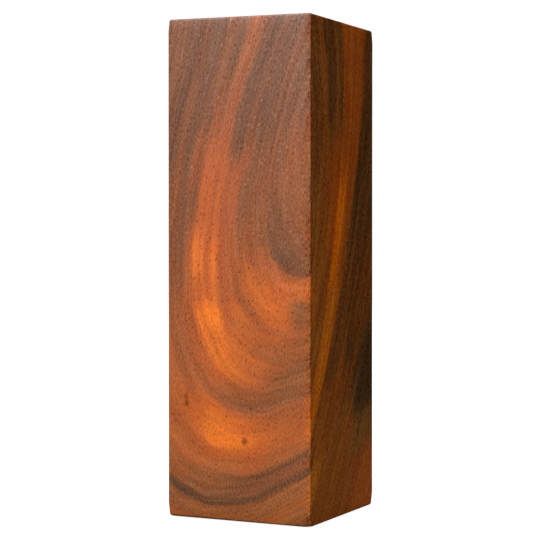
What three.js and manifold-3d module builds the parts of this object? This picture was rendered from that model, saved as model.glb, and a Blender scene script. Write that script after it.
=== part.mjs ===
// A dip pen holder: a tall square block of figured hardwood, bored from above so that four dip pens stand in
// it nib up. A brass liner keeps wet ink off the wood of each bore, and a felt cushion at the foot of each
// liner takes the tail of the pen. A steel slug in the foot of the block keeps it from tipping, and a cork pad
// let into the underside covers the slug and carries the holder.
// Millimetres, +Z up. The origin is the centre of the pad's underside, where the holder stands. The block's
// front face looks along -Y.
import * as THREE from "three";
import { mergeVertices } from "three/addons/utils/BufferGeometryUtils.js";
import Module from "manifold-3d";

const wasm = await Module();
wasm.setup();

// Block
const BLOCK_WIDTH = 38;
const BLOCK_HEIGHT = 120.7;
const ARRIS_RADIUS = 0.5; // the four upright edges are only just broken
const TOP_EASING = 0.6; // rounding of the top edges
const FOOT_EASING = 1.0; // rounding of the bottom edges

// Pen bores and what lines them
const BORE_PITCH = 16.4;
const BORE_DEPTH = 92;
const BORE_CHAMFER = 0.6;
const LINER_OUTSIDE = 12;
const LINER_WALL = 0.5;
const GLUE_GAP = 0.1; // between a liner and its bore, all round
const CUSHION_THICKNESS = 2;
const CUSHION_CLEARANCE = 0.15; // between a cushion and its liner, all round

// Foot
const PAD_WIDTH = 30.4;
const PAD_THICKNESS = 1.6;
const PAD_CORNER = 2.5;
const PAD_PROUD = 0.4; // how far the pad stands below the wood
const PAD_CLEARANCE = 0.2;
const SLUG_DIAMETER = 23.5;
const SLUG_HEIGHT = 13;
const SLUG_CHAMFER = 0.8;
const SLUG_CLEARANCE = 0.3;

const BORE_SIDES = 40;
const SLUG_SIDES = 48;
const EASING_STEPS = 4;
const OVERCUT = 2; // how far a cutter runs past the face that it opens

const FOOT_Z = PAD_PROUD;
const TOP_Z = FOOT_Z + BLOCK_HEIGHT;
const BORE_RADIUS = LINER_OUTSIDE / 2 + GLUE_GAP;
const BORE_FLOOR_Z = TOP_Z - BORE_DEPTH;
const LINER_TOP_Z = TOP_Z - BORE_CHAMFER - 0.2;
const LINER_FOOT_Z = BORE_FLOOR_Z + GLUE_GAP;
const RECESS_CEILING_Z = PAD_THICKNESS + GLUE_GAP;
const SLUG_FOOT_Z = RECESS_CEILING_Z + GLUE_GAP;
const POCKET_CEILING_Z = SLUG_FOOT_Z + SLUG_HEIGHT + SLUG_CLEARANCE;

const MATERIALS = {
  wood: new THREE.MeshStandardMaterial({ color: 0x9a5630, roughness: 0.45, metalness: 0 }),
  brass: new THREE.MeshStandardMaterial({ color: 0xc79a4a, roughness: 0.3, metalness: 1 }),
  felt: new THREE.MeshStandardMaterial({ color: 0x2f4a35, roughness: 0.95, metalness: 0 }),
  steel: new THREE.MeshStandardMaterial({ color: 0x8c8f93, roughness: 0.4, metalness: 1 }),
  cork: new THREE.MeshStandardMaterial({ color: 0xb98a5c, roughness: 0.9, metalness: 0 }),
};

// A closed three.js geometry as a solid that can be cut.
function solidOf(geometry) {
  const bare = geometry.clone();
  bare.deleteAttribute("normal");
  bare.deleteAttribute("uv");
  const merged = mergeVertices(bare, 1e-4);
  return new wasm.Manifold(
    new wasm.Mesh({
      numProp: 3,
      vertProperties: merged.attributes.position.array,
      triVerts: new Uint32Array(merged.index.array),
    }),
  );
}

// A cut solid as a three.js geometry.
function geometryOf(solid) {
  const mesh = solid.getMesh();
  const geometry = new THREE.BufferGeometry();
  geometry.setAttribute("position", new THREE.BufferAttribute(mesh.vertProperties, 3));
  geometry.setIndex(new THREE.BufferAttribute(mesh.triVerts, 1));
  return geometry;
}

// A profile of [radius, height] points, bottom to top, turned about +Z.
function turned(profile, sides, start = 0) {
  const points = profile.map(([radius, height]) => new THREE.Vector2(radius, height));
  return new THREE.LatheGeometry(points, sides, start).rotateX(Math.PI / 2);
}

// A square of the given width with rounded corners, centred on the origin.
function roundedSquare(width, radius) {
  const half = width / 2;
  const shape = new THREE.Shape();
  shape.moveTo(-half + radius, -half);
  shape.lineTo(half - radius, -half);
  shape.absarc(half - radius, -half + radius, radius, -Math.PI / 2, 0);
  shape.lineTo(half, half - radius);
  shape.absarc(half - radius, half - radius, radius, 0, Math.PI / 2);
  shape.lineTo(-half + radius, half);
  shape.absarc(-half + radius, half - radius, radius, Math.PI / 2, Math.PI);
  shape.lineTo(-half, -half + radius);
  shape.absarc(-half + radius, -half + radius, radius, Math.PI, Math.PI * 1.5);
  return shape;
}

// An upright prism on that square, from one height to another.
function prism(width, radius, fromZ, toZ) {
  const options = { depth: toZ - fromZ, bevelEnabled: false, curveSegments: EASING_STEPS };
  return new THREE.ExtrudeGeometry(roundedSquare(width, radius), options).translate(0, 0, fromZ);
}

// Points of a quarter circle in the block's side view, from one angle to the next.
function easing(radius, centreX, centreZ, fromAngle, toAngle) {
  return Array.from({ length: EASING_STEPS + 1 }, (_, i) => {
    const angle = fromAngle + ((toAngle - fromAngle) * i) / EASING_STEPS;
    return [centreX + radius * Math.cos(angle), centreZ + radius * Math.sin(angle)];
  });
}

// The four places of the pen bores, as [name, x, y].
const BORES = [
  ["front_left", -1, -1],
  ["front_right", 1, -1],
  ["back_left", -1, 1],
  ["back_right", 1, 1],
].map(([name, sideX, sideY]) => [name, (sideX * BORE_PITCH) / 2, (sideY * BORE_PITCH) / 2]);

// The block before it is bored: a four-sided turning gives the eased ends, and a prism breaks the upright edges.
function blankSolid() {
  const half = BLOCK_WIDTH / 2;
  const profile = [
    [0, FOOT_Z],
    ...easing(FOOT_EASING, half - FOOT_EASING, FOOT_Z + FOOT_EASING, -Math.PI / 2, 0),
    ...easing(TOP_EASING, half - TOP_EASING, TOP_Z - TOP_EASING, 0, Math.PI / 2),
    [0, TOP_Z],
  ];
  const cornerwise = profile.map(([x, z]) => [x * Math.SQRT2, z]);
  const squared = solidOf(turned(cornerwise, 4, Math.PI / 4));
  const upright = solidOf(prism(BLOCK_WIDTH, ARRIS_RADIUS, FOOT_Z - OVERCUT, TOP_Z + OVERCUT));
  return squared.intersect(upright);
}

function boreCutter(x, y) {
  const mouth = BORE_RADIUS + BORE_CHAMFER;
  const profile = [
    [0, BORE_FLOOR_Z],
    [BORE_RADIUS, BORE_FLOOR_Z],
    [BORE_RADIUS, TOP_Z - BORE_CHAMFER],
    [mouth, TOP_Z],
    [mouth, TOP_Z + OVERCUT],
    [0, TOP_Z + OVERCUT],
  ];
  return solidOf(turned(profile, BORE_SIDES).translate(x, y, 0));
}

function footCutters() {
  const pocketRadius = SLUG_DIAMETER / 2 + SLUG_CLEARANCE;
  const pocket = [
    [0, FOOT_Z],
    [pocketRadius, FOOT_Z],
    [pocketRadius, POCKET_CEILING_Z],
    [0, POCKET_CEILING_Z],
  ];
  const recessWidth = PAD_WIDTH + 2 * PAD_CLEARANCE;
  const recessCorner = PAD_CORNER + PAD_CLEARANCE;
  const recess = prism(recessWidth, recessCorner, FOOT_Z - OVERCUT, RECESS_CEILING_Z);
  return [solidOf(turned(pocket, SLUG_SIDES)), solidOf(recess)];
}

function woodBlock() {
  const cutters = [...BORES.map(([, x, y]) => boreCutter(x, y)), ...footCutters()];
  return geometryOf(cutters.reduce((solid, cutter) => solid.subtract(cutter), blankSolid()));
}

// A thin brass tube with its mouth just inside the bore's chamfer.
function penLiner() {
  const outside = LINER_OUTSIDE / 2;
  const inside = outside - LINER_WALL;
  const ring = [
    [inside, LINER_FOOT_Z],
    [outside, LINER_FOOT_Z],
    [outside, LINER_TOP_Z],
    [inside, LINER_TOP_Z],
    [inside, LINER_FOOT_Z],
  ];
  return turned(ring, BORE_SIDES);
}

function linerCushion() {
  const radius = LINER_OUTSIDE / 2 - LINER_WALL - CUSHION_CLEARANCE;
  const foot = LINER_FOOT_Z;
  const top = foot + CUSHION_THICKNESS;
  const disc = [
    [0, foot],
    [radius, foot],
    [radius, top],
    [0, top],
  ];
  return turned(disc, BORE_SIDES);
}

function ballastSlug() {
  const radius = SLUG_DIAMETER / 2;
  const top = SLUG_FOOT_Z + SLUG_HEIGHT;
  const profile = [
    [0, SLUG_FOOT_Z],
    [radius - SLUG_CHAMFER, SLUG_FOOT_Z],
    [radius, SLUG_FOOT_Z + SLUG_CHAMFER],
    [radius, top - SLUG_CHAMFER],
    [radius - SLUG_CHAMFER, top],
    [0, top],
  ];
  return turned(profile, SLUG_SIDES);
}

function named(name, geometry, material, x = 0, y = 0) {
  const mesh = new THREE.Mesh(geometry, material);
  mesh.name = name;
  mesh.position.set(x, y, 0);
  return mesh;
}

const holder = new THREE.Group();
holder.add(named("wood_block", woodBlock(), MATERIALS.wood));
for (const [place, x, y] of BORES) {
  holder.add(named(`pen_liner_${place}`, penLiner(), MATERIALS.brass, x, y));
  holder.add(named(`liner_cushion_${place}`, linerCushion(), MATERIALS.felt, x, y));
}
holder.add(named("ballast_slug", ballastSlug(), MATERIALS.steel));
holder.add(named("base_pad", prism(PAD_WIDTH, PAD_CORNER, 0, PAD_THICKNESS), MATERIALS.cork));

export default holder;
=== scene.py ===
"""A dip pen holder: a block of figured rosewood with four brass-lined wells, on a pale studio floor.

Lengths in the mesh code are millimetres, in the frame's own axes. They become metres as each mesh is made.
"""

import math

import bmesh
import bpy
from mathutils import Euler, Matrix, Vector, noise
from mathutils.geometry import delaunay_2d_cdt


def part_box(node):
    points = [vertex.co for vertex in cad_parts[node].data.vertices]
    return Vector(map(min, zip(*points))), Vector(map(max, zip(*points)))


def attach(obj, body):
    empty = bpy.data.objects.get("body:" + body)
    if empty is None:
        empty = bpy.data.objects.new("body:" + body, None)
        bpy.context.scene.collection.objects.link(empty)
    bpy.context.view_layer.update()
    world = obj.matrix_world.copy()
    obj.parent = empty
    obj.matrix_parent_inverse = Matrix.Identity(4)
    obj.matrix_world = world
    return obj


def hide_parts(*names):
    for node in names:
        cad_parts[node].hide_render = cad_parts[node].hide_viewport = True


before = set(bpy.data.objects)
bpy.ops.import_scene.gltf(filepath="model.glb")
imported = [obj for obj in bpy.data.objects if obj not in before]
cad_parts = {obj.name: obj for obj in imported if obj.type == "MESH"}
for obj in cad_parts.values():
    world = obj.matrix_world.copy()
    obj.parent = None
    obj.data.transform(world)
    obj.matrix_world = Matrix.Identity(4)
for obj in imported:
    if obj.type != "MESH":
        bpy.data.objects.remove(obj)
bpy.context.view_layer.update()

MM = 0.001
BODY = "root"
PLACES = ("front_left", "front_right", "back_left", "back_right")


# ---------------------------------------------------------------- sizes read from the frame


def node_box(name):
    """A CAD node's lowest and highest corners, in millimetres."""
    low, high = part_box(name)
    return [v / MM for v in low], [v / MM for v in high]


BLOCK_LOW, BLOCK_HIGH = node_box("wood_block")
FOOT_Z = BLOCK_LOW[2]
TOP_Z = BLOCK_HIGH[2]
HALF = BLOCK_HIGH[0]
HEIGHT = TOP_Z - FOOT_Z

# What the wood is cut for: the same clearances as the frame's.
BORE_CHAMFER = 0.6
BORE_RADIUS = 6.1
BORE_DEPTH = 92
BORE_FLOOR_Z = TOP_Z - BORE_DEPTH
RECESS_HALF = 15.4
RECESS_CORNER = 2.7
RECESS_CHAMFER = 0.2
RECESS_CEILING_Z = 1.7
POCKET_RADIUS = 12.05
POCKET_CEILING_Z = 15.1
LINER_WALL = 0.5
SLUG_CHAMFER = 0.8
PAD_CORNER = 2.5


def bore_centre(place):
    """The x and y of the well whose liner stands at a place."""
    low, high = node_box(f"pen_liner_{place}")
    return (low[0] + high[0]) / 2, (low[1] + high[1]) / 2


BORES = [bore_centre(place) for place in PLACES]


# ---------------------------------------------------------------- mesh helpers

SHEET_SPACING = 2.2  # how far apart the points inside a flat face lie
SHARP_SAWN = 40  # edges that turn by more degrees than this are shaded sharp on a cut piece
SHARP_TURNED = 35  # and on a turned one


def within(x, y, outline):
    """Whether a point lies inside a closed outline of (x, y) points."""
    inside = False
    for (ax, ay), (bx, by) in zip(outline, outline[1:] + outline[:1]):
        if (ay > y) != (by > y) and x < ax + (y - ay) / (by - ay) * (bx - ax):
            inside = not inside
    return inside


class Builder:
    """Collects loops of vertices and bridges them into one closed mesh."""

    def __init__(self):
        self.bm = bmesh.new()

    def loop(self, points):
        """Vertices at points given in millimetres."""
        return [self.bm.verts.new(Vector(p) * MM) for p in points]

    def bridge(self, lower, upper):
        """Quads between two loops of the same length."""
        count = len(lower)
        for i in range(count):
            j = (i + 1) % count
            self.bm.faces.new((lower[i], lower[j], upper[j], upper[i]))

    def stack(self, loops):
        """Loops of points, each bridged to the next. Returns the loops of vertices."""
        made = [self.loop(points) for points in loops]
        for lower, upper in zip(made, made[1:]):
            self.bridge(lower, upper)
        return made

    def fan(self, loop, centre):
        """Closes a loop with triangles that meet at a centre."""
        hub = self.bm.verts.new(Vector(centre) * MM)
        count = len(loop)
        for i in range(count):
            self.bm.faces.new((loop[i], loop[(i + 1) % count], hub))

    def sheet(self, outer, holes, z):
        """A flat triangulated face at height z, inside the outer loop and outside the holes."""
        loops = [outer] + holes
        verts = [v for loop in loops for v in loop]
        coords = [Vector((v.co.x / MM, v.co.y / MM)) for v in verts]
        edges = []
        outlines = []
        start = 0
        for loop in loops:
            count = len(loop)
            edges += [(start + i, start + (i + 1) % count) for i in range(count)]
            outlines.append([tuple(c) for c in coords[start : start + count]])
            start += count
        rim = list(coords)

        def on_face(x, y):
            return within(x, y, outlines[0]) and not any(within(x, y, hole) for hole in outlines[1:])

        low = min(c.x for c in rim)
        steps = int((max(c.x for c in rim) - low) / SHEET_SPACING)
        for i in range(1, steps + 1):
            for j in range(1, steps + 1):
                spot = Vector((low + i * SHEET_SPACING, low + j * SHEET_SPACING))
                clear = min((spot - c).length for c in rim) > SHEET_SPACING * 0.4
                if clear and on_face(spot.x, spot.y):
                    coords.append(spot)
                    verts.append(self.bm.verts.new(Vector((spot.x, spot.y, z)) * MM))
        _, _, faces, origins, _, _ = delaunay_2d_cdt(coords, edges, [], 0, 1e-5)
        for face in faces:
            picked = [origins[k][0] for k in face]
            middle = sum((coords[k] for k in picked), Vector((0, 0))) / 3
            if on_face(middle.x, middle.y):
                self.bm.faces.new([verts[k] for k in picked])

    def mesh(self, name, sharp_degrees):
        """Makes the object, after checking that it is closed."""
        bmesh.ops.recalc_face_normals(self.bm, faces=self.bm.faces)
        open_edges = [e for e in self.bm.edges if len(e.link_faces) != 2]
        if open_edges:
            raise ValueError(f"{name} has {len(open_edges)} open edges")
        data = bpy.data.meshes.new(name)
        self.bm.to_mesh(data)
        self.bm.free()
        data.polygons.foreach_set("use_smooth", [True] * len(data.polygons))
        data.set_sharp_from_angle(angle=math.radians(sharp_degrees))
        piece = bpy.data.objects.new(name, data)
        bpy.context.collection.objects.link(piece)
        return piece


def circle(x, y, radius, z, sides):
    """Points round a level circle."""
    step = math.tau / sides
    return [(x + radius * math.cos(i * step), y + radius * math.sin(i * step), z) for i in range(sides)]


def smoothstep(t):
    """From 0 to 1 as t does, with a soft start and end."""
    t = min(max(t, 0.0), 1.0)
    return t * t * (3 - 2 * t)


# ---------------------------------------------------------------- the block's outside

CORNER_STEPS = 10
SIDE_STEPS = 18
EASE_STEPS = 8
BODY_STEPS = 46
MOUTH_STEPS = 6
BORE_SIDES = 96

# Corners in order round the block, starting at the front left: signs of x and y, how far the top face falls
# short of square there, how far the top and the foot edges are eased, and how round the upright edge is at
# the top, at mid height and at the foot.
CORNERS = [
    dict(x=-1, y=-1, fall=0.0, top=0.5, foot=0.8, edge_top=1.0, edge_mid=0.3, edge_foot=1.0),
    dict(x=1, y=-1, fall=0.85, top=0.5, foot=0.5, edge_top=0.9, edge_mid=0.2, edge_foot=2.2),
    dict(x=1, y=1, fall=0.3, top=0.7, foot=0.7, edge_top=0.8, edge_mid=0.2, edge_foot=1.1),
    dict(x=-1, y=1, fall=0.1, top=0.7, foot=0.9, edge_top=0.9, edge_mid=0.3, edge_foot=1.1),
]
EDGE_BLEND = 5.0  # how far from each end the upright edges go from round to crisp
SANDING_WAVE = 0.03  # how far the faces dip where they were sanded by hand
SANDING_FADE = 12  # the dips fade out over one part in this many of the height, at each end
FALL_HEIGHT = 60.0  # the top's fall fades out this far below it
END_MARGIN = 3.0  # the sections next to an end are taken this far in from it
FLAT_RIM = 0.25  # a narrow strip beside each rounded edge, which keeps a flat face's shading flat


def edge_radius(corner, z):
    """How round an upright edge is at height z."""
    near_top = 1 - smoothstep((TOP_Z - z) / EDGE_BLEND)
    near_foot = 1 - smoothstep((z - FOOT_Z) / EDGE_BLEND)
    radius = corner["edge_mid"]
    radius += (corner["edge_top"] - corner["edge_mid"]) * near_top ** 1.5
    radius += (corner["edge_foot"] - corner["edge_mid"]) * near_foot ** 1.5
    return radius


def outline(z, which):
    """Points round the block at height z: (x, y, outward normal x, normal y, easing there)."""
    points = []
    for index, corner in enumerate(CORNERS):
        radius = edge_radius(corner, z)
        centre_x = corner["x"] * (HALF - radius)
        centre_y = corner["y"] * (HALF - radius)
        start = math.pi + index * math.pi / 2
        for step in range(CORNER_STEPS + 1):
            angle = start + step * math.pi / 2 / CORNER_STEPS
            nx = math.cos(angle)
            ny = math.sin(angle)
            points.append((centre_x + radius * nx, centre_y + radius * ny, nx, ny, corner[which]))
        after = CORNERS[(index + 1) % 4]
        after_radius = edge_radius(after, z)
        nx = math.cos(start + math.pi / 2)
        ny = math.sin(start + math.pi / 2)
        from_x, from_y = points[-1][:2]
        to_x = after["x"] * (HALF - after_radius) + after_radius * nx
        to_y = after["y"] * (HALF - after_radius) + after_radius * ny
        for step in range(1, SIDE_STEPS):
            t = step / SIDE_STEPS
            ease = corner[which] + (after[which] - corner[which]) * smoothstep(t)
            points.append((from_x + (to_x - from_x) * t, from_y + (to_y - from_y) * t, nx, ny, ease))
    return points


def dip(x, y, z):
    """How far hand sanding takes the surface in at a point."""
    broad = noise.noise(Vector((x, y, z)) * 0.045)
    fine = noise.noise(Vector((x + 50, y, z)) * 0.16)
    return SANDING_WAVE * (0.5 + 0.4 * broad + 0.1 * fine)


def eased_loop(line, end_z, inward, angle):
    """One loop of an easing. The angle runs from 0 on the flat end to a right angle on the upright faces."""
    loop = []
    for x, y, nx, ny, ease in line:
        inset = ease * (1 - math.sin(angle))
        z = end_z + inward * ease * (1 - math.cos(angle))
        loop.append((x - nx * inset, y - ny * inset, z))
    return loop


def outside_loops():
    """The block's outside, from the flat underside up to the flat top."""
    ease_angles = [i / EASE_STEPS * math.pi / 2 for i in range(EASE_STEPS + 1)]
    foot_line = outline(FOOT_Z, "foot")
    top_line = outline(TOP_Z, "top")
    loops = [eased_loop(foot_line, FOOT_Z, 1, angle) for angle in ease_angles]
    for step in range(1, BODY_STEPS):
        t = step / BODY_STEPS
        loop = []
        section_z = FOOT_Z + END_MARGIN + (HEIGHT - 2 * END_MARGIN) * t
        fade = smoothstep(min(t, 1 - t) * SANDING_FADE)
        for (x, y, nx, ny, _), foot, top in zip(outline(section_z, "top"), foot_line, top_line):
            z = FOOT_Z + foot[4] + (HEIGHT - foot[4] - top[4]) * t
            inset = dip(x, y, z) * fade
            loop.append((x - nx * inset, y - ny * inset, z))
        loops.append(loop)
    loops += [eased_loop(top_line, TOP_Z, -1, angle) for angle in reversed(ease_angles)]
    return loops


def rim_inside(loop, z):
    """Points at height z, about FLAT_RIM nearer to the axis than a loop of vertices round the block."""
    scale = 1 - FLAT_RIM / (HALF - 2)
    points = [v.co / MM for v in loop]
    return [(point.x * scale, point.y * scale, z) for point in points]


def square_loop(half, radius, z):
    """Points round a level square with rounded corners."""
    points = []
    steps = 8
    for index, (sx, sy) in enumerate(((-1, -1), (1, -1), (1, 1), (-1, 1))):
        start = math.pi + index * math.pi / 2
        for step in range(steps + 1):
            angle = start + step * math.pi / 2 / steps
            x = sx * (half - radius) + radius * math.cos(angle)
            y = sy * (half - radius) + radius * math.sin(angle)
            points.append((x, y, z))
    return points


def top_fall(x, y):
    """How far the top face falls short of square at a point, between its four corners' falls."""
    total = 0
    for corner in CORNERS:
        share = (1 + corner["x"] * x / HALF) * (1 + corner["y"] * y / HALF) / 4
        total += corner["fall"] * share
    return total


def make_block():
    build = Builder()
    rings = build.stack(outside_loops())

    # The top face, with the four bores let into it.
    top_line = build.loop(rim_inside(rings[-1], TOP_Z))
    build.bridge(rings[-1], top_line)
    mouth = BORE_RADIUS + BORE_CHAMFER
    mouths = []
    for x, y in BORES:
        profile = [(mouth + FLAT_RIM, TOP_Z)]
        for step in range(MOUTH_STEPS + 1):
            angle = step / MOUTH_STEPS * math.pi / 2
            reach = BORE_CHAMFER * (1 - math.sin(angle))
            profile.append((BORE_RADIUS + reach, TOP_Z - BORE_CHAMFER * (1 - math.cos(angle))))
        profile.append((BORE_RADIUS, TOP_Z - END_MARGIN))
        profile.append((BORE_RADIUS, BORE_FLOOR_Z))
        loops = build.stack([circle(x, y, radius, z, BORE_SIDES) for radius, z in profile])
        build.fan(loops[-1], (x, y, BORE_FLOOR_Z))
        mouths.append(loops[0])
    build.sheet(top_line, mouths, TOP_Z)

    # The underside, with the recess for the pad, and the pocket for the slug let into that.
    foot_line = build.loop(rim_inside(rings[0], FOOT_Z))
    build.bridge(foot_line, rings[0])
    recess = build.stack(
        [
            square_loop(RECESS_HALF + RECESS_CHAMFER, RECESS_CORNER + RECESS_CHAMFER, FOOT_Z),
            square_loop(RECESS_HALF, RECESS_CORNER, FOOT_Z + RECESS_CHAMFER),
            square_loop(RECESS_HALF, RECESS_CORNER, RECESS_CEILING_Z),
        ]
    )
    build.sheet(foot_line, [recess[0]], FOOT_Z)
    pocket = build.stack(
        [
            circle(0, 0, POCKET_RADIUS, RECESS_CEILING_Z, BORE_SIDES),
            circle(0, 0, POCKET_RADIUS, POCKET_CEILING_Z, BORE_SIDES),
        ]
    )
    build.fan(pocket[1], (0, 0, POCKET_CEILING_Z))
    build.sheet(recess[-1], [pocket[0]], RECESS_CEILING_Z)

    # The top's fall pulls down everything under it, less and less further down.
    for vert in build.bm.verts:
        x, y, z = vert.co / MM
        share = max(0, (z - TOP_Z + FALL_HEIGHT) / FALL_HEIGHT)
        vert.co.z -= top_fall(x, y) * share * MM
    return build.mesh("rosewood_block", SHARP_SAWN)


# ---------------------------------------------------------------- the fittings


def make_turned(name, centre, profile, sides=BORE_SIDES):
    """A closed turned piece. Its profile runs from foot to top on the axis, or all the way round a ring."""
    build = Builder()
    x, y = centre
    on_axis = profile[0][0] == 0
    rings = [circle(x, y, radius, z, sides) for radius, z in profile if radius > 0]
    loops = build.stack(rings)
    if on_axis:
        build.fan(loops[0], (x, y, profile[0][1]))
        build.fan(loops[-1], (x, y, profile[-1][1]))
    else:
        build.bridge(loops[-1], loops[0])
    return build.mesh(name, SHARP_TURNED)


def arc(centre_r, centre_z, radius, start, end, steps):
    """Points of a profile along part of a circle, by angles in degrees."""
    points = []
    for step in range(steps + 1):
        angle = math.radians(start + (end - start) * step / steps)
        points.append((centre_r + radius * math.cos(angle), centre_z + radius * math.sin(angle)))
    return points


def make_liner(place):
    """A brass tube, its mouth deburred and its foot squared."""
    low, high = node_box(f"pen_liner_{place}")
    outside = (high[0] - low[0]) / 2
    inside = outside - LINER_WALL
    lip = LINER_WALL / 2
    foot = low[2]
    top = high[2]
    steps = 8
    broken = 0.1  # the foot's corners
    profile = [(inside, foot + broken), (inside + broken, foot)]
    profile += [(outside - broken, foot), (outside, foot + broken)]
    profile += [(outside, foot + (top - foot) * i / steps) for i in range(1, steps)]
    profile += arc(outside - lip, top - lip, lip, 0, 180, 10)
    profile += [(inside, top - (top - foot) * i / steps) for i in range(1, steps)]
    return make_turned(f"brass_liner_{place}", bore_centre(place), profile, 128)


def make_cushion(place):
    """A felt disc, its edge rounded and its face dished where the tails of pens have stood."""
    low, high = node_box(f"liner_cushion_{place}")
    radius = (high[0] - low[0]) / 2
    foot = low[2]
    top = high[2]
    edge = 0.6
    lower_edge = 0.3
    dish = 0.45
    dish_steps = 9
    profile = [(0, foot), (radius * 0.5, foot)]
    profile += arc(radius - lower_edge, foot + lower_edge, lower_edge, -90, 0, 4)
    profile += arc(radius - edge, top - edge, edge, 0, 90, 6)
    for step in range(1, dish_steps):
        inward = step / dish_steps
        profile.append(((radius - edge) * (1 - inward), top - dish * smoothstep(inward)))
    profile.append((0, top - dish))
    return make_turned(f"felt_cushion_{place}", bore_centre(place), profile)


def make_slug():
    """A slug parted off a steel bar: chamfered, grooved to hold glue, and centre-drilled in its top."""
    low, high = node_box("ballast_slug")
    radius = high[0]
    foot = low[2]
    top = high[2]
    chamfer = SLUG_CHAMFER
    soft = 0.12
    groove = 0.12
    groove_depth = 0.05
    profile = [(0, foot), (radius - chamfer - soft, foot), (radius - chamfer, foot + soft * 0.4)]
    profile += [(radius - soft * 0.4, foot + chamfer - soft), (radius, foot + chamfer)]
    for height in (0.35, 0.5, 0.65):
        centre = foot + (top - foot) * height
        profile += [(radius, centre - groove), (radius - groove_depth, centre), (radius, centre + groove)]
    profile += [(radius, top - chamfer), (radius - soft * 0.4, top - chamfer + soft)]
    profile += [(radius - chamfer, top - soft * 0.4), (radius - chamfer - soft, top)]
    profile += [(2.2, top), (1.0, top - 1.2), (0.8, top - 2.2), (0, top - 2.6)]
    return make_turned("turned_ballast_slug", (0, 0), profile)


def make_pad():
    """A sheet of cork, die cut, with its edges a little crushed."""
    low, high = node_box("base_pad")
    half = high[0]
    foot = low[2]
    top = high[2]
    soft = 0.3
    edge_steps = 5
    edge_angles = [step / edge_steps * math.pi / 2 for step in range(edge_steps + 1)]
    build = Builder()
    rings = []
    for angle in edge_angles:
        inset = soft * (1 - math.sin(angle))
        rings.append(square_loop(half - inset, PAD_CORNER - inset, foot + soft * (1 - math.cos(angle))))
    for angle in edge_angles:
        inset = soft * (1 - math.cos(angle))
        rings.append(square_loop(half - inset, PAD_CORNER - inset, top - soft * (1 - math.sin(angle))))
    made = build.stack(rings)
    build.sheet(made[0], [], foot)
    build.sheet(made[-1], [], top)
    return build.mesh("cork_base_pad", SHARP_SAWN)


# ---------------------------------------------------------------- shader helpers


class Wire:
    """A shader value that can be added, multiplied and so on, each time by a Math node."""

    def __init__(self, graph, socket):
        self.graph = graph
        self.socket = socket

    def __add__(self, other):
        return self.graph.math("ADD", self, other)

    def __sub__(self, other):
        return self.graph.math("SUBTRACT", self, other)

    def __rsub__(self, other):
        return self.graph.math("SUBTRACT", other, self)

    def __mul__(self, other):
        return self.graph.math("MULTIPLY", self, other)

    __radd__ = __add__
    __rmul__ = __mul__


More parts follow.
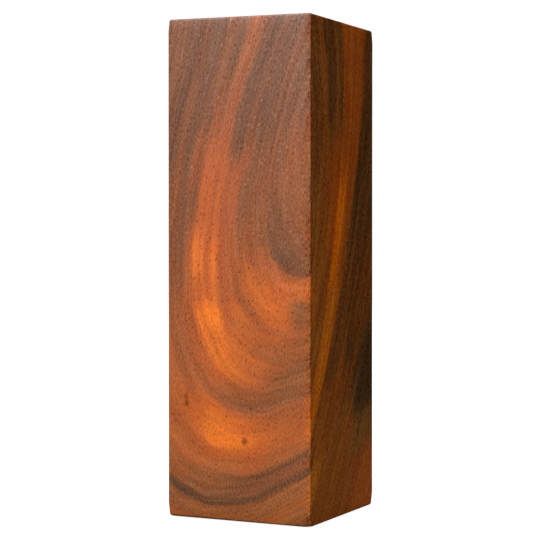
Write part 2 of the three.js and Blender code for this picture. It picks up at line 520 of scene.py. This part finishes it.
class Graph:
    """The node tree of one material, built around its Principled shader."""

    def __init__(self, name):
        self.material = bpy.data.materials.new(name)
        self.material.use_nodes = True
        self.tree = self.material.node_tree
        self.shader = self.tree.nodes["Principled BSDF"]

    def node(self, kind, **settings):
        """A new node, with its settings."""
        made = self.tree.nodes.new(kind)
        for key, value in settings.items():
            setattr(made, key, value)
        return made

    def plug(self, value, socket):
        """Links a wire to a socket, or sets the socket to a plain value."""
        if isinstance(value, Wire):
            self.tree.links.new(value.socket, socket)
        else:
            socket.default_value = value

    def math(self, operation, *values):
        made = self.node("ShaderNodeMath", operation=operation)
        for value, socket in zip(values, made.inputs):
            self.plug(value, socket)
        return Wire(self, made.outputs[0])

    def length(self, x, y):
        """How long the vector from the origin to (x, y) is."""
        return self.math("SQRT", x * x + y * y)

    def place(self):
        """The point's x, y and z in millimetres."""
        coords = self.node("ShaderNodeTexCoord")
        split = self.node("ShaderNodeSeparateXYZ")
        self.tree.links.new(coords.outputs["Object"], split.inputs[0])
        return [Wire(self, out) * (1 / MM) for out in split.outputs]

    def vector(self, x, y, z):
        made = self.node("ShaderNodeCombineXYZ")
        for value, socket in zip((x, y, z), made.inputs):
            self.plug(value, socket)
        return Wire(self, made.outputs[0])

    def split(self, vector):
        made = self.node("ShaderNodeSeparateXYZ")
        self.plug(vector, made.inputs[0])
        return [Wire(self, out) for out in made.outputs]

    def step(self, value, low, high, start=0.0, end=1.0):
        """A smooth step from start to end as value goes from low to high."""
        made = self.node("ShaderNodeMapRange", interpolation_type="SMOOTHSTEP")
        inputs = {"Value": value, "From Min": low, "From Max": high, "To Min": start, "To Max": end}
        for name, given in inputs.items():
            self.plug(given, made.inputs[name])
        return Wire(self, made.outputs[0])

    def steps(self, vector, low, high, start, end):
        """The same on the three parts of a vector at once."""
        made = self.node("ShaderNodeMapRange", interpolation_type="SMOOTHSTEP", data_type="FLOAT_VECTOR")
        sockets = [s for s in made.inputs if s.enabled]
        for given, socket in zip((vector, low, high, (start,) * 3, (end,) * 3), sockets):
            self.plug(given, socket)
        return Wire(self, [s for s in made.outputs if s.enabled][0])

    def times(self, one, other):
        """Two vectors, multiplied part by part."""
        made = self.node("ShaderNodeVectorMath", operation="MULTIPLY")
        self.plug(one, made.inputs[0])
        self.plug(other, made.inputs[1])
        return Wire(self, made.outputs[0])

    def noise(self, vector, scale=1.0, detail=2.0, roughness=0.5, distortion=0.0):
        """Soft noise about 0.5."""
        made = self.node("ShaderNodeTexNoise")
        self.plug(vector, made.inputs["Vector"])
        made.inputs["Scale"].default_value = scale
        made.inputs["Detail"].default_value = detail
        made.inputs["Roughness"].default_value = roughness
        made.inputs["Distortion"].default_value = distortion
        return Wire(self, made.outputs[0])

    def cells(self, vector, scale):
        """Distance to the nearest of many scattered points, and three random numbers for that point."""
        made = self.node("ShaderNodeTexVoronoi", voronoi_dimensions="3D")
        self.plug(vector, made.inputs["Vector"])
        made.inputs["Scale"].default_value = scale
        made.inputs["Randomness"].default_value = 1.0
        split = self.node("ShaderNodeSeparateColor")
        self.tree.links.new(made.outputs["Color"], split.inputs[0])
        return Wire(self, made.outputs["Distance"]), [Wire(self, out) for out in split.outputs]

    def mixed(self, one, other, amount, **settings):
        """A Mix node between two values of any one kind."""
        made = self.node("ShaderNodeMix", **settings)
        for value, socket in zip((amount, one, other), [s for s in made.inputs if s.enabled]):
            self.plug(value, socket)
        return Wire(self, [s for s in made.outputs if s.enabled][0])

    def mix(self, one, other, amount):
        """From one number to the other."""
        return self.mixed(one, other, amount, data_type="FLOAT")

    def mix_vectors(self, one, other, amount):
        """From one vector to the other."""
        return self.mixed(one, other, amount, data_type="VECTOR")

    def blend(self, one, other, amount, how="MIX"):
        """From one colour to the other, or to what the two make together."""
        return self.mixed(one, other, amount, data_type="RGBA", blend_type=how)

    def ramp(self, value, stops):
        """The colour at a value, between the stops on either side of it."""
        made = self.node("ShaderNodeValToRGB")
        elements = made.color_ramp.elements
        while len(elements) < len(stops):
            elements.new(1.0)
        for element, (position, colour) in zip(elements, stops):
            element.position = position
            element.color = (*colour, 1)
        self.plug(value, made.inputs[0])
        return Wire(self, made.outputs[0])

    def bump(self, height, depth):
        """Bends the shading normal by a height from 0 to 1 that stands for a depth in millimetres."""
        made = self.node("ShaderNodeBump")
        made.inputs["Strength"].default_value = 1.0
        made.inputs["Distance"].default_value = depth * MM
        self.plug(height, made.inputs["Height"])
        return Wire(self, made.outputs[0])

    def finish(self, **inputs):
        """Sets the shader's inputs by name, with spaces for underscores, and returns the material."""
        for name, value in inputs.items():
            self.plug(value, self.shader.inputs[name.replace("_", " ")])
        return self.material


# ---------------------------------------------------------------- rosewood
#
# The figure is that of a log cut close to its heart. The growth rings are cones round a curved pith that lies
# in front of the block and leans to the right as it rises. A point's ring is its distance from the pith,
# scaled by how far the cones have opened at its height, so every face, the end grain and the bores show the
# same rings. Distances here are millimetres from the block's front left foot corner: right, back and up.

PITH_SPAN = 120.0
PITH_RIGHT = (12.3, 43, 18, 20)  # how far right the pith is: terms in powers of the height over PITH_SPAN
PITH_BACK = (-57, 24, -20, -5)  # and how far back
CONE_OPENING = 0.69  # how much the distances' scale falls from the foot to the top, as the cones open

ANYWHERE = 9999
EVERY = (-ANYWHERE, ANYWHERE, 1, 1)

# The tones of the wood, from 0, its darkest line, to 1, its brightest streak.
ROSEWOOD_TONES = [
    (0.00, (0.042, 0.013, 0.003)),
    (0.15, (0.087, 0.026, 0.003)),
    (0.25, (0.135, 0.037, 0.004)),
    (0.39, (0.220, 0.049, 0.004)),
    (0.59, (0.330, 0.061, 0.003)),
    (0.80, (0.450, 0.082, 0.002)),
    (1.00, (0.700, 0.150, 0.001)),
]
TAN = (1.0, 1.7, 3.5)  # what a fully tan or olive place multiplies those tones by

# Zones of tone, laid over each other in this order: name, tone, how tan, how strongly it covers what is under
# it, and three extents: which rings, which heights, and how far round from the front left corner (right plus
# back). An extent is (low, high, softness of the low edge, softness of the high edge). A tan below 0 takes
# the tan of the ripples away too. The list can't grow: at 68 zones Cycles turned the whole block black.
ROSEWOOD_ZONES = [
    ("upper dark", 0.285, 0.0, 1.0, EVERY, (78, ANYWHERE, 16, 1), EVERY),
    ("left dark", 0.285, -0.1, 0.9, (62.6, 72, 0.5, 3), (62, ANYWHERE, 14, 1), (-ANYWHERE, 16, 1, 10)),
    ("left line", 0.18, 0.0, 0.75, (62.9, 65.0, 0.5, 0.4), (84, ANYWHERE, 10, 1), (-ANYWHERE, 25, 1, 5)),
    ("left strand", 0.41, 0.0, 0.85, (60.2, 61.5, 0.3, 0.4), (80, 106, 6, 6), (-ANYWHERE, 28, 1, 5)),
    ("heart dark", 0.38, 0.2, 0.9, (0, 51.5, 1, 0.8), (63, ANYWHERE, 3, 1), EVERY),
    ("heart high", 0.27, 0.0, 0.85, (49.2, 52.0, 0.8, 0.5), (95, ANYWHERE, 5, 1), (-ANYWHERE, 40, 1, 3)),
    ("left brown", 0.52, 0.1, 0.8, (62, 76, 0.8, 3), (8, 60, 8, 14), (-ANYWHERE, 6, 1, 6)),
    ("left strand low", 0.45, 0.0, 0.85, (61.0, 63.2, 0.3, 0.5), (80, 93, 5, 4), (-ANYWHERE, 28, 1, 5)),
    ("inner glow", 0.46, 0.0, 0.75, (53.0, 54.6, 0.4, 0.4), (62, 72, 4, 4), (12, 34, 4, 4)),
    ("wedge strand", 0.44, 0.0, 0.7, (54.1, 55.5, 0.4, 0.4), (83, 91, 4, 4), (12, 36, 4, 4)),
    ("wedge", 0.26, -0.2, 0.8, (54.8, 57.2, 0.4, 0.3), (92, ANYWHERE, 5, 1), (-ANYWHERE, 36, 1, 5)),
    ("second strand", 0.57, -0.1, 0.9, (55.4, 58.2, 0.4, 0.3), (48, 86, 6, 4), (-ANYWHERE, 30, 1, 6)),
    ("streak", 0.49, 0.1, 0.95, (57.8, 60.0, 0.35, 0.6), (40, ANYWHERE, 8, 1), (-ANYWHERE, 33, 1, 5)),
    ("streak middle", 0.68, -0.05, 0.9, (58.2, 61.1, 0.4, 0.5), (38, 92, 8, 10), (-ANYWHERE, 30, 1, 8)),
    ("streak left", 0.66, 0.0, 0.9, (60.6, 62.2, 0.5, 0.5), (54, 71, 5, 6), (-ANYWHERE, 20, 1, 6)),
    ("core left", 0.60, 0.0, 0.8, (60.8, 62.8, 0.4, 0.5), (34, 56, 6, 5), (-ANYWHERE, 16, 1, 6)),
    ("streak core", 1.0, 0.0, 0.95, (57.9, 61.0, 0.7, 0.6), (35, 53, 5, 5), (-ANYWHERE, 20, 1, 6)),
    ("core strand", 0.94, 0.0, 0.85, (59.6, 61.3, 0.4, 0.4), (57, 69, 4, 4), (-ANYWHERE, 20, 1, 6)),
    ("inner strand", 0.86, 0.0, 0.8, (57.0, 58.9, 0.4, 0.4), (54, 68, 6, 5), (-ANYWHERE, 22, 1, 6)),
    ("split", 0.50, 0.0, 0.7, (58.5, 59.1, 0.25, 0.25), (66, 84, 4, 3), (-ANYWHERE, 24, 1, 6)),
    ("core skirt", 0.80, 0.1, 0.85, (57.9, 62.3, 0.5, 0.5), (32, 47, 4, 4), (9, 28, 4, 5)),
    ("gap glow", 0.80, 0.1, 0.85, (51.6, 58.2, 0.5, 0.5), (41, 61, 4, 7), (15, 41, 5, 4)),
    ("gap shade", 0.50, 0.0, 0.7, (55.4, 57.7, 0.5, 0.4), (52, 66, 4, 5), (10, 21, 4, 3)),
    ("patch", 0.78, 0.1, 0.85, (51.4, 54.6, 0.4, 0.4), (48, 61, 3, 3), (24, 40, 4, 4)),
    ("patch shade", 0.58, 0.1, 0.7, (51.6, 53.6, 0.4, 0.5), (57, 65, 2, 3), (22, 32, 4, 3)),
    ("patch corner", 0.25, 0.2, 0.9, (52.0, 57.0, 0.4, 0.5), (41, 52.5, 3, 1.5), (33, 60, 2.5, 6)),
    ("olive", 0.50, 0.25, 0.8, (55.6, 58, 0.3, 0.4), (34, 43, 4, 3), (26, ANYWHERE, 6, 1)),
    ("olive low", 0.46, 0.3, 0.8, (58.4, 61.2, 0.3, 0.6), (26, 41, 4, 4), (29, ANYWHERE, 6, 1)),
    ("low zone", 0.60, 0.2, 0.85, (63.0, 70.5, 0.6, 0.8), (6, 34, 5, 6), EVERY),
    ("low right front", 0.42, 0.3, 0.7, (68.4, 71.2, 0.5, 0.6), (8, 21, 3, 3), (25, 40, 4, 3)),
    ("low glow", 0.89, 0.0, 0.95, (63.4, 68.6, 0.6, 1.0), (15, 30, 5, 5), (8, 26, 5, 10)),
    ("purple zone", 0.29, 0.0, 0.85, (71.4, 74.6, 0.7, 0.4), (-9, 30, 1, 10), (12, 39, 10, 1.5)),
    ("low left", 0.50, 0.3, 0.8, (70, 72.6, 0.5, 0.8), (2, 30, 3, 8), (-ANYWHERE, 14, 1, 8)),
    ("below line 1", 0.42, 0.3, 0.9, (75.0, 90, 0.3, 3), (-9, 20, 1, 8), EVERY),
    ("side inner", 0.29, 0.35, 0.9, (40, 62.3, 3, 0.5), (76, ANYWHERE, 14, 1), (39, ANYWHERE, 1, 1)),
    ("side inner low", 0.60, 0.75, 0.9, (40, 62.3, 3, 0.5), (-9, 76, 1, 14), (39, ANYWHERE, 1, 1)),
    ("inner dark", 0.19, 0.2, 0.8, (56.6, 59.8, 0.8, 0.8), (88, ANYWHERE, 12, 1), (39, ANYWHERE, 1, 1)),
    ("inner light", 0.43, 0.45, 0.8, (53.4, 55.6, 0.5, 0.5), (56, ANYWHERE, 8, 1), (39, ANYWHERE, 1, 1)),
    ("side outer", 0.19, 0.35, 0.95, (70.2, 140, 0.7, 10), (58, ANYWHERE, 20, 1), (40, ANYWHERE, 3, 1)),
    ("side outer middle", 0.29, 0.3, 0.9, (70.4, 83, 0.6, 3), (30, 62, 6, 10), (39, ANYWHERE, 2, 1)),
    ("side outer low", 0.53, 0.6, 0.9, (70.4, 110, 0.6, 6), (-9, 29, 1, 8), (39, ANYWHERE, 2, 1)),
    ("inner shade", 0.41, 0.2, 0.7, (57.8, 62, 0.6, 0.6), (46, 66, 5, 4), (40, ANYWHERE, 2, 1)),
    ("outer line", 0.14, 0.2, 0.6, (70.8, 72.6, 0.5, 0.8), (98, ANYWHERE, 8, 1), (39, ANYWHERE, 2, 1)),
    ("outer shade", 0.15, 0.2, 0.7, (76.7, 80.0, 0.8, 0.7), (48, 70, 3, 4), (39, ANYWHERE, 2, 1)),
    ("outer shade 2", 0.14, 0.2, 0.7, (80.6, 86.4, 1.0, 1.2), (37, 47, 3, 3), (39, ANYWHERE, 2, 1)),
    ("outer strand", 0.44, 0.2, 0.7, (77.6, 81.6, 0.9, 0.9), (22, 41, 5, 4), (44, ANYWHERE, 3, 1)),
    ("inner gleam", 0.50, 0.1, 0.75, (54.2, 60.0, 0.8, 0.8), (70, 91, 6, 7), (40, ANYWHERE, 2, 1)),
    ("band shade", 0.37, 0.3, 0.8, (59.2, 63.0, 0.8, 0.6), (90, 108, 5, 6), (40, ANYWHERE, 2, 1)),
    ("band inner", 0.63, 0.0, 0.85, (59.6, 62.8, 0.6, 0.6), (66, 93, 4, 7), (40, ANYWHERE, 3, 1)),
    ("side band", 0.59, 0.15, 0.95, (62.3, 69.9, 0.7, 0.9), EVERY, (30, ANYWHERE, 10, 1)),
    ("side band core", 0.97, 0.0, 0.95, (62.0, 66.2, 0.5, 1.0), (53, 84, 6, 7), (40, ANYWHERE, 4, 1)),
    ("side band low", 0.84, 0.5, 0.9, (63.0, 69.4, 0.7, 0.7), (-9, 57, 1, 7), (38, ANYWHERE, 2, 1)),
    ("green patch", 0.07, 0.7, 0.95, (91, 112, 4, 5), (23, 47, 4, 5), (63, ANYWHERE, 5, 1)),
    ("red patch", 0.32, 0.0, 0.8, (78, 90, 2, 4), (44, 68, 6, 8), (60, ANYWHERE, 4, 1)),
    ("foot left", 0.80, 0.9, 0.85, (75, 82, 1.2, 3), (-9, 15, 1, 4), (38, ANYWHERE, 2, 1)),
    ("pale right", 0.30, 0.9, 0.8, (101, 140, 4, 5), (14, 26, 3, 4), (62, ANYWHERE, 4, 1)),
    ("low right", 0.80, 0.35, 0.9, (112, 140, 7, 5), (-9, 17, 1, 4), (56, ANYWHERE, 8, 1)),
    ("line 1", 0.19, 0.1, 0.85, (73.6, 74.6, 0.4, 0.4), (-9, 36, 1, 14), (-ANYWHERE, 40, 1, 3)),
    ("line 2", 0.40, 0.0, 0.88, (61.1, 62.6, 0.5, 0.5), (23, 41, 3, 4), (15, 40, 7, 3)),
    ("line 4 high", 0.30, 0.0, 0.75, (54.0, 54.9, 0.3, 0.3), (72, 80, 3, 4), (12, 40, 3, 3)),
    ("line 4", 0.38, 0.0, 0.68, (55.1, 55.8, 0.3, 0.3), (42, 65, 2, 4), (12, 38, 3, 2)),
    ("line 4 inner", 0.28, 0.1, 0.7, (52.2, 52.9, 0.3, 0.3), (69, 85, 3, 4), (20, 40, 3, 3)),
    ("line 5", 0.27, 0.1, 0.75, (50.9, 51.7, 0.35, 0.3), (61, 80, 2, 4), (24, 40, 2, 3)),
    ("line 5 high", 0.24, 0.0, 0.7, (50.4, 51.2, 0.35, 0.3), (83, 98, 4, 6), (24, 40, 2, 3)),
]

# Pin knots that come out on the front face: right, up, radius.
PIN_KNOTS = [(5.0, 29.3, 0.65), (5.1, 27.8, 0.6), (20.8, 19.2, 0.65), (22.6, 27.0, 0.4)]


def curve(height, terms):
    """terms[0] + terms[1] h + terms[2] h² and so on, with h the height over PITH_SPAN."""
    h = height * (1 / PITH_SPAN)
    total = terms[-1]
    for term in reversed(terms[:-1]):
        total = h * total + term
    return total


def rosewood():
    g = Graph("rosewood")
    x, y, z = g.place()
    right = x + HALF
    back = y + HALF
    up = z - FOOT_Z

    # Rings, and the fibres that run along them. The fibres feather the edges of every zone.
    cone = 1 - (up - PITH_SPAN / 2) * (CONE_OPENING / PITH_SPAN)
    across = (right - curve(up, PITH_RIGHT)) * cone
    deep = (back - curve(up, PITH_BACK)) * cone
    distance = g.length(across, deep)
    sway = g.noise(g.vector(right * 0.05, back * 0.05, up * 0.03), detail=2) - 0.5
    ripple = g.noise(g.vector(across * 0.14, deep * 0.14, up * 0.04), detail=2) - 0.5
    fibre = g.noise(g.vector(across * 2.6, deep * 2.6, up * 0.16), detail=3, roughness=0.6) - 0.5
    ring = distance + sway * 1.2 + ripple * 1.0 + fibre * 0.5
    turn = g.math("ARCTAN2", across, deep) * 50  # about how far along its ring a point is

    # How far round a point is. The back face has the right face's distances, so they are shifted there.
    behind = g.step(back, 2 * HALF - 1.5, 2 * HALF - 0.2)
    around = right + back - behind * (ripple * 24 + 6)

    # Zones, each over the last.
    spot = g.vector(ring, up, around)
    shade = (0.37, 0.15, 0)  # the tone and the tan of the wood outside every zone
    for name, tone, tan, amount, *extents in ROSEWOOD_ZONES:
        low = g.steps(spot, [e[0] - e[2] for e in extents], [e[0] + e[2] for e in extents], 0, 1)
        high = g.steps(spot, [e[1] - e[3] for e in extents], [e[1] + e[3] for e in extents], 1, 0)
        in_rings, in_heights, in_round = g.split(g.times(low, high))
        shade = g.mix_vectors(shade, (tone, tan, 0), in_rings * in_heights * in_round * amount)
    tone, tan, _ = g.split(shade)

    # Streaks that follow the rings, from broad to fine, and the thin lines where one year's growth ends. The
    # outermost rings, which few zones reach, have slow ones as well.
    broad = g.noise(g.vector(ring * 0.34, turn * 0.03, up * 0.012), detail=3, roughness=0.6) - 0.5
    middle = g.noise(g.vector(ring * 1.0, turn * 0.05, up * 0.02), detail=2, roughness=0.6) - 0.5
    fine = g.noise(g.vector(ring * 2.8, turn * 0.08, up * 0.05), detail=2, roughness=0.6) - 0.5
    speck = g.noise(g.vector(right * 2.6, back * 2.6, up * 1.3), detail=1, roughness=0.7) - 0.5
    growth = g.step(g.math("ABSOLUTE", middle), 0, 0.022, 1, 0)
    hidden = g.step(distance, 76, 84) * g.step(around, 34, 44, 1, 0)
    slow = g.noise(g.vector(ring * 0.11, turn * 0.02, up * 0.008), detail=1) - 0.5
    tone = tone * (1 + broad * g.step(tone, 0.3, 0.6, 1.8, 0.7) + slow * hidden * 1.4)

    # Pin knots, darker and duller than the wood round them.
    knots = 1
    for knot_right, knot_up, radius in PIN_KNOTS:
        aside = right - knot_right
        above = (up - knot_up) * 0.8
        reach = g.length(aside, above)
        shape = g.step(reach + fibre * 0.5, radius * 0.4, radius * 1.6, 1, 0) * g.step(back, 6, 12, 1, 0)
        tone = g.mix(tone, 0.2, shape * 0.65)
        knots = (1 - shape * 0.7) * knots

    # Pores are short lengths of vessel, so they are dots on the end grain and dashes on the sides.
    stir = broad * 3
    vessels = g.vector(across + stir, deep - stir, up * 0.45 + ripple * 3)
    near, (pick, size, _) = g.cells(vessels, 1.3)
    pore = g.step(near, 0.12 + size * 0.07, 0.21 + size * 0.08, 1, 0)
    bright = g.step(tone, 0.34, 0.52)
    pale = g.step(pick, 0.7, 0.75) * (1 - bright)

    # The right face is cut nearer the quarter, so its grain is bolder. Low down it has a faint painted grey
    # reflection of the floor.
    quarter = g.step(right, 2 * HALF - 2, 2 * HALF - 0.2)
    bold = (1 + quarter * 0.6) * (1.2 - bright * 0.4)
    streak = (middle * 0.8 + fibre * 0.45) * bold
    thread = (fine * 0.45 - growth * 0.06) * bold
    dust = speck * bold * 0.75
    grain = streak + thread + dust
    hue = streak + thread * (quarter * 0.8 + 1.3) + dust * (quarter * 1.2 + 1.6) + 1
    dark = pore * (1 - quarter * 0.5)
    holes = 1 - dark * bright * 0.5 + pore * pale * 0.35 - dark * (1 - bright) * (1 - pale) * 0.2
    colour = g.ramp(tone, ROSEWOOD_TONES)
    colour = g.blend(colour, (*TAN, 1), tan + ripple * 0.6, "MULTIPLY")
    # Painted reflection: faint grey added to the colour low on the right face, stronger towards its back
    # edge.
    painted_floor_reflection = quarter * g.step(back, 12, 36) * g.step(up, 4, 27, 1, 0)
    colour = g.blend(colour, (0.013, 0.010, 0.012, 1), painted_floor_reflection, "ADD")
    colour = g.blend(colour, g.vector(holes * (1 + grain), holes * hue, holes * hue), 1.0, "MULTIPLY")

    # The polish follows the grain and the pores. It is lower on the right face, in the bright streak and in
    # the bright foot. It takes nothing from the zones, through which an exporter that follows every path back
    # from it would have millions of them to follow.
    streak_glow = g.step(ring + g.step(up, 58, 68, 5, 0), 56.8, 58.2) * g.step(ring, 61, 62.5, 1, 0)
    streak_glow = streak_glow * g.step(up, 80, 96, 1, 0)
    foot_glow = g.step(ring, 63, 64.5) * g.step(ring, 68, 70, 1, 0) * g.step(up, 28, 34, 1, 0)
    glow = streak_glow + foot_glow
    fleck = g.step(pick, 0.7, 0.75)
    pit = g.mix(g.mix(-0.2, 0.75, fleck), -0.5, glow)
    crisp = (fine * 0.45 - growth * 0.06 + speck * 0.75) * 2.2
    sheen = (middle * 0.4 + fibre * 0.22 + crisp) * (1.2 - glow * 0.4)
    shine = (1 + pore * pit) * knots * (1 + sheen * (1 + quarter * 0.6))
    polish = g.math("MAXIMUM", shine * (0.70 - quarter * 0.3 - glow * 0.08), 0)
    grain_height = fibre * 0.3 + speck * 0.2 + 0.5 - pore * 0.4
    return g.finish(
        Base_Color=colour,
        Roughness=0.42 + fibre * 0.15 + pore * 0.15,
        Specular_IOR_Level=polish,
        Normal=g.bump(grain_height, 0.05),
    )


# ---------------------------------------------------------------- the other materials


def brass():
    """Drawn brass that has been handled: fine rings from the lathe, with a little dull tarnish."""
    g = Graph("brass")
    x, y, z = g.place()
    tarnish = g.noise(g.vector(x * 0.22, y * 0.22, z * 0.09), detail=4, roughness=0.6)
    turned = g.noise(g.vector(x * 0.05, y * 0.05, z * 5.0), detail=3, roughness=0.7)
    smudge = g.noise(g.vector(x * 0.9, y * 0.9, z * 0.5), detail=3)
    dull = g.step(tarnish + smudge * 0.3, 0.56, 0.86)
    colour = g.blend((0.83, 0.60, 0.28, 1), (0.46, 0.29, 0.11, 1), dull * 0.8)
    return g.finish(
        Base_Color=colour,
        Metallic=1.0,
        Roughness=0.24 + dull * 0.26 + (turned - 0.5) * 0.12,
        Normal=g.bump(turned, 0.01),
    )


def felt():
    """Dense green wool felt, with a nap and a few paler fibres."""
    g = Graph("felt")
    x, y, z = g.place()
    spot = g.vector(x, y, z)
    clump = g.noise(spot, scale=1.1, detail=3)
    nap = g.noise(spot, scale=7.0, detail=3, roughness=0.7, distortion=0.8)
    hair = g.step(g.math("ABSOLUTE", g.noise(spot, scale=3.0, detail=2, distortion=1.5) - 0.5), 0, 0.02, 1, 0)
    colour = g.blend((0.018, 0.050, 0.028, 1), (0.045, 0.105, 0.060, 1), clump * 0.5 + nap * 0.5)
    colour = g.blend(colour, (0.10, 0.17, 0.11, 1), hair * 0.4)
    return g.finish(
        Base_Color=colour,
        Roughness=0.95,
        Sheen_Weight=0.5,
        Sheen_Roughness=0.5,
        Normal=g.bump(nap * 0.7 + hair * 0.3, 0.12),
    )


def steel():
    """Turned mild steel: concentric tool marks, an oily sheen and specks of rust."""
    g = Graph("steel")
    x, y, z = g.place()
    reach = g.length(x, y)
    marks = g.noise(g.vector(reach * 4.0, z * 4.0, 0), detail=3, roughness=0.65)
    stain = g.noise(g.vector(x * 0.2, y * 0.2, z * 0.2), detail=4)
    rust = g.step(g.noise(g.vector(x, y, z), scale=0.8, detail=4), 0.66, 0.72)
    colour = g.blend((0.50, 0.51, 0.53, 1), (0.36, 0.36, 0.37, 1), stain)
    colour = g.blend(colour, (0.20, 0.085, 0.035, 1), rust)
    return g.finish(
        Base_Color=colour,
        Metallic=1 - rust,
        Roughness=0.30 + marks * 0.16 + rust * 0.4,
        Normal=g.bump(marks, 0.02),
    )


def cork():
    """Agglomerated cork: pale granules of many sizes in a darker binder, with a few dark flecks of bark."""
    g = Graph("cork")
    x, y, z = g.place()
    warp = g.noise(g.vector(x, y, z), scale=0.7, detail=2) - 0.5
    near, (pick, shade, _) = g.cells(g.vector(x + warp, y - warp, z), 0.75)
    grains, (fleck, _, _) = g.cells(g.vector(x, y, z), 1.9)
    fine = g.noise(g.vector(x, y, z), scale=4.0, detail=3)
    seam = g.step(near, 0.48, 0.72)
    colour = g.blend((0.44, 0.27, 0.14, 1), (0.63, 0.43, 0.25, 1), shade * 0.7 + fine * 0.3)
    colour = g.blend(colour, (0.23, 0.125, 0.06, 1), seam * 0.7)
    bark = g.step(fleck, 0.93, 0.95) * g.step(grains, 0.3, 0.5, 1, 0)
    colour = g.blend(colour, (0.09, 0.045, 0.022, 1), bark)
    return g.finish(
        Base_Color=colour,
        Roughness=0.88,
        Normal=g.bump(fine * 0.3 + (1 - seam) * 0.5 + pick * 0.2, 0.15),
    )


# ---------------------------------------------------------------- stage


FLOOR_SHADE = 0.2  # how much light the floor in front of the block gives back to it
FLOOR_SHADE_BEHIND = 0.01  # and the floor behind it, which the side would mirror
FLOOR_SEEN = 0.15  # and how much either gives the camera
FLOOR_LIFT = 0.95  # what the camera sees over that near the block, and 1.0 further off
WORLD_LIGHT = 0.004  # how much light the white surroundings give
WORLD_SEEN = 1.0  # and how bright the camera sees them


def studio_light(name, azimuth, elevation, distance, width, height, watts):
    """A soft box that faces the block's middle. Azimuth 0 is in front, and 90 is to the right."""
    data = bpy.data.lights.new(name, "AREA")
    data.shape = "RECTANGLE"
    data.size = width
    data.size_y = height
    data.energy = watts
    light = bpy.data.objects.new(name, data)
    turn = math.radians(azimuth)
    rise = math.radians(elevation)
    middle = Vector((0, 0, (FOOT_Z + HEIGHT / 2) * MM))
    towards = Vector((math.sin(turn) * math.cos(rise), -math.cos(turn) * math.cos(rise), math.sin(rise)))
    light.location = middle + towards * distance
    light.rotation_euler = towards.to_track_quat("Z", "Y").to_euler()
    bpy.context.collection.objects.link(light)


def make_floor():
    """A white floor. The camera sees it brighter than the block does, so that it bounces little light."""
    data = bpy.data.meshes.new("floor")
    reach = 4.0
    corners = [(-reach, -reach, 0), (reach, -reach, 0), (reach, reach, 0), (-reach, reach, 0)]
    data.from_pydata(corners, [], [(0, 1, 2, 3)])
    floor = bpy.data.objects.new("floor", data)
    bpy.context.collection.objects.link(floor)
    g = Graph("floor")
    path = g.node("ShaderNodeLightPath")
    seen = Wire(g, path.outputs["Is Camera Ray"])
    x, y, _ = g.place()
    away = g.length(x, y)
    # The floor behind the block, seen from its front right.
    behind = g.step(x * 0.42 + y * 0.91, -60, 10)
    matt = g.mix(g.mix(FLOOR_SHADE, FLOOR_SHADE_BEHIND, behind), FLOOR_SEEN, seen)
    lift = seen * g.step(away, 40, 260, FLOOR_LIFT, 1.0)
    data.materials.append(
        g.finish(
            Base_Color=g.vector(matt, matt, matt),
            Roughness=1.0,
            Specular_IOR_Level=0.0,
            Emission_Color=(1, 1, 1, 1),
            Emission_Strength=lift,
        )
    )


def make_world():
    """White surroundings that light the scene very little."""
    world = bpy.data.worlds.new("studio")
    world.use_nodes = True
    nodes = world.node_tree.nodes
    links = world.node_tree.links
    nodes.clear()
    path = nodes.new("ShaderNodeLightPath")
    mix = nodes.new("ShaderNodeMixShader")
    out = nodes.new("ShaderNodeOutputWorld")
    links.new(path.outputs["Is Camera Ray"], mix.inputs["Fac"])
    for strength, socket in ((WORLD_LIGHT, mix.inputs[1]), (WORLD_SEEN, mix.inputs[2])):
        white = nodes.new("ShaderNodeBackground")
        white.inputs["Color"].default_value = (1, 1, 1, 1)
        white.inputs["Strength"].default_value = strength
        links.new(white.outputs[0], socket)
    links.new(mix.outputs[0], out.inputs["Surface"])
    bpy.context.scene.world = world


def make_camera():
    """The photograph's view: from the front, 26 degrees to the right, a little above mid height."""
    azimuth = math.radians(26.02)
    pitch = math.radians(0.626)
    distance = 0.39068
    side = -0.00066
    height = 0.06446
    data = bpy.data.cameras.new("camera")
    data.sensor_width = 36
    data.lens = 104.72
    data.clip_start = 0.01
    camera = bpy.data.objects.new("camera", data)
    bpy.context.collection.objects.link(camera)
    forward = Vector((-math.sin(azimuth), math.cos(azimuth), 0))
    right = Vector((math.cos(azimuth), math.sin(azimuth), 0))
    camera.location = right * side - forward * distance + Vector((0, 0, height))
    camera.rotation_euler = Euler((math.pi / 2 - pitch, 0, azimuth))
    bpy.context.scene.camera = camera


make_camera()
make_world()
make_floor()
studio_light("key", azimuth=-14, elevation=40, distance=1.2, width=0.9, height=0.9, watts=22)
studio_light("fill", azimuth=62, elevation=25, distance=1.3, width=0.7, height=0.9, watts=8.3)
studio_light("overhead", azimuth=0, elevation=89, distance=1.6, width=1.6, height=1.6, watts=12)
studio_light("back", azimuth=215, elevation=30, distance=1.4, width=0.9, height=0.9, watts=10)

# ---------------------------------------------------------------- pieces


def fit(piece, node, material):
    """Puts a finished piece in a CAD node's place."""
    piece.data.materials.append(material)
    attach(piece, BODY)
    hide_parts(node)


fit(make_block(), "wood_block", rosewood())
brass_material = brass()
felt_material = felt()
for place in PLACES:
    fit(make_liner(place), f"pen_liner_{place}", brass_material)
    cushion = make_cushion(place)
    fit(cushion, f"liner_cushion_{place}", felt_material)
fit(make_slug(), "ballast_slug", steel())
pad = make_pad()
fit(pad, "base_pad", cork())

bpy.context.scene.view_settings.view_transform = "Standard"
